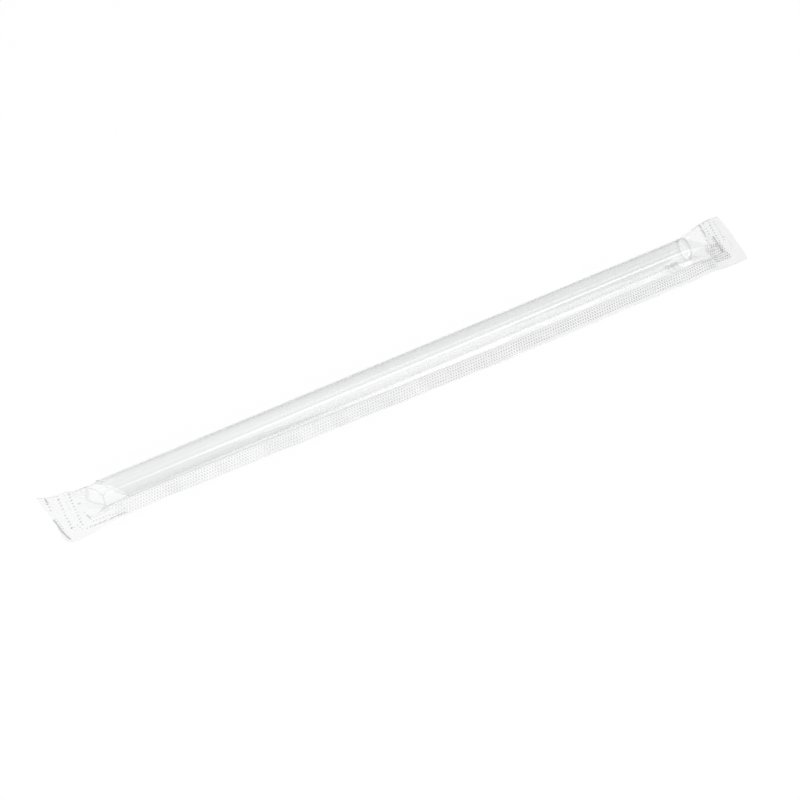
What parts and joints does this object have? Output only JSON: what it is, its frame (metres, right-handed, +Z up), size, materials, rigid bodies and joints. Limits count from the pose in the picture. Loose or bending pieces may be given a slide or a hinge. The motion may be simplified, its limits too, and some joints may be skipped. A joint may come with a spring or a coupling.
{
  "type": "wrapped drinking straw",
  "caption": "Clear drinking straw with a slanted tip, sealed in a clear film wrapper with a crimped side seam and flat end seals.",
  "frame": {"origin": "on the table, under the middle of the pack's bounding box", "axes": "+X along the straw, from its slanted tip to its square mouth; +Y from the side seam to the folded side; +Z up from the table"},
  "size_m": [0.2442, 0.022, 0.0085],
  "materials": {
    "straw_plastic": "thin clear polypropylene, slightly milky and glossy",
    "wrapper_film": "clear glossy polypropylene film, embossed where it is sealed"
  },
  "bodies": {
    "root": {"straw": "straw_plastic", "wrapper": "wrapper_film"}
  },
  "joints": []
}
